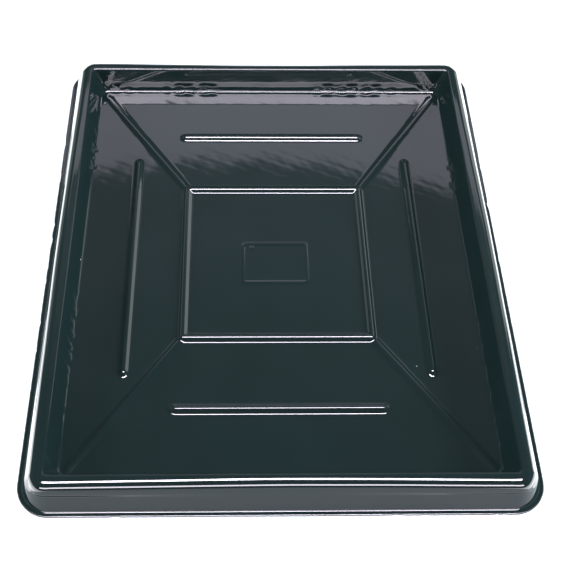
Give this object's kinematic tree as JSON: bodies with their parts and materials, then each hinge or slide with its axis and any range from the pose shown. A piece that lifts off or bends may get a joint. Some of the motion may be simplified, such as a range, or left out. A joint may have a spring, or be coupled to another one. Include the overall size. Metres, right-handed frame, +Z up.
{
  "type": "paint roller tray",
  "caption": "Shallow one-piece formed plastic roller tray with a raised hollow rim, an out-turned lip and a flat floor stiffened by raised beads.",
  "frame": {"origin": "under the middle of the tray, on the plane that the floor and the lip rest on", "axes": "+Z up, out of the open side; +Y along the longer side; +X along the shorter side"},
  "size_m": [0.6, 0.702, 0.04],
  "materials": {
    "black_gloss_plastic": "high-gloss black sheet plastic with faint forming ripples, dust and small scratches"
  },
  "bodies": {
    "root": {"tray": "black_gloss_plastic"}
  },
  "joints": []
}
